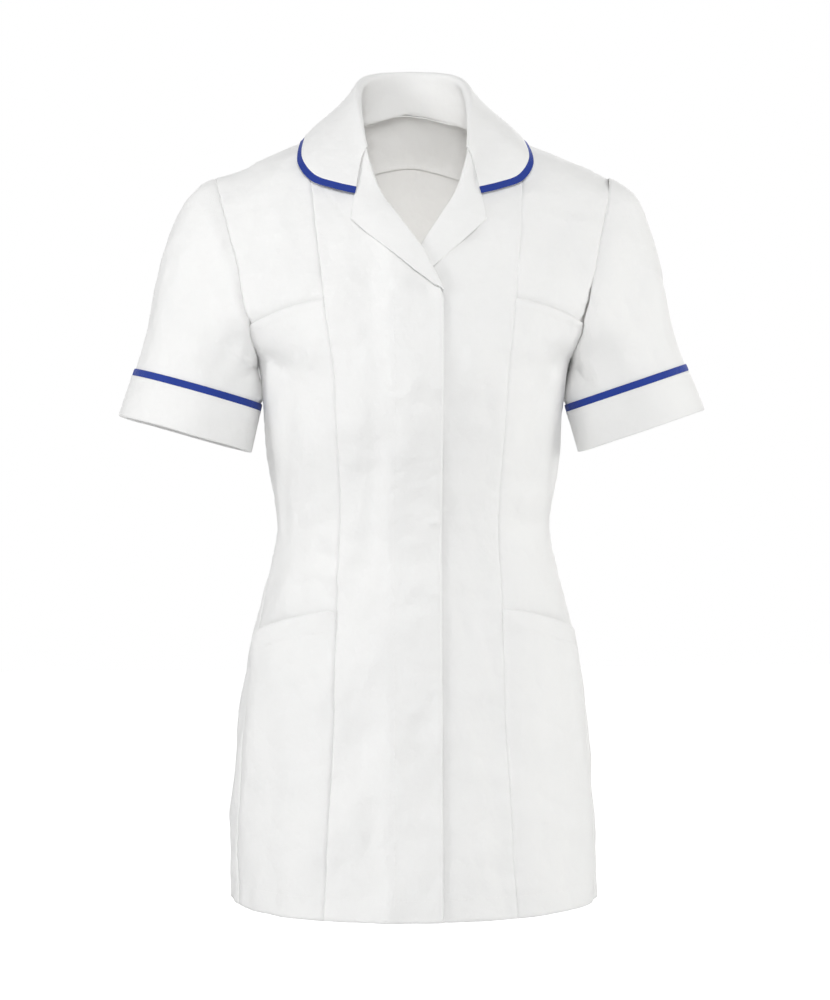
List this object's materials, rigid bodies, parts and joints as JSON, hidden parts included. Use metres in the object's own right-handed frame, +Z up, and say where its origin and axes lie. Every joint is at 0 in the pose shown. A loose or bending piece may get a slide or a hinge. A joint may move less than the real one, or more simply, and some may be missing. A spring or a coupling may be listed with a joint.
{
  "type": "medical tunic",
  "caption": "Short-sleeved fitted healthcare tunic with rounded revers collar, contrast trim, concealed stud front, inset chest pockets and hip pockets, in its worn hollow form.",
  "frame": {"origin": "centre of the neck, level with the inner ends of the shoulder seams, where the wearer's shoulders carry the garment", "axes": "+Z up along the wearer's spine, the front of the garment faces -Y, +X is the garment's left side"},
  "size_m": [0.5379, 0.2511, 0.7603],
  "materials": {
    "white_cloth": "matte",
    "blue_trim": "matte",
    "stud_metal": "satin"
  },
  "bodies": {
    "root": {"front_centre_right": "white_cloth", "front_centre_left": "white_cloth", "front_side_upper_right": "white_cloth", "front_side_upper_left": "white_cloth", "front_side_lower_right": "white_cloth", "front_side_lower_left": "white_cloth", "hip_pocket_right": "white_cloth", "hip_pocket_left": "white_cloth", "back_side_lower_right": "white_cloth", "back_side_upper_right": "white_cloth", "back_side_lower_left": "white_cloth", "back_side_upper_left": "white_cloth", "back_centre": "white_cloth", "back_neck_facing": "white_cloth", "lapel_right": "white_cloth", "lapel_left": "white_cloth", "collar": "white_cloth", "collar_trim": "blue_trim", "sleeve_right": "white_cloth", "sleeve_left": "white_cloth", "cuff_right": "white_cloth", "cuff_left": "white_cloth", "cuff_trim_right": "blue_trim", "cuff_trim_left": "blue_trim", "stud_1": "stud_metal", "stud_2": "stud_metal", "stud_3": "stud_metal", "stud_4": "stud_metal", "stud_5": "stud_metal", "stud_6": "stud_metal"}
  },
  "joints": []
}
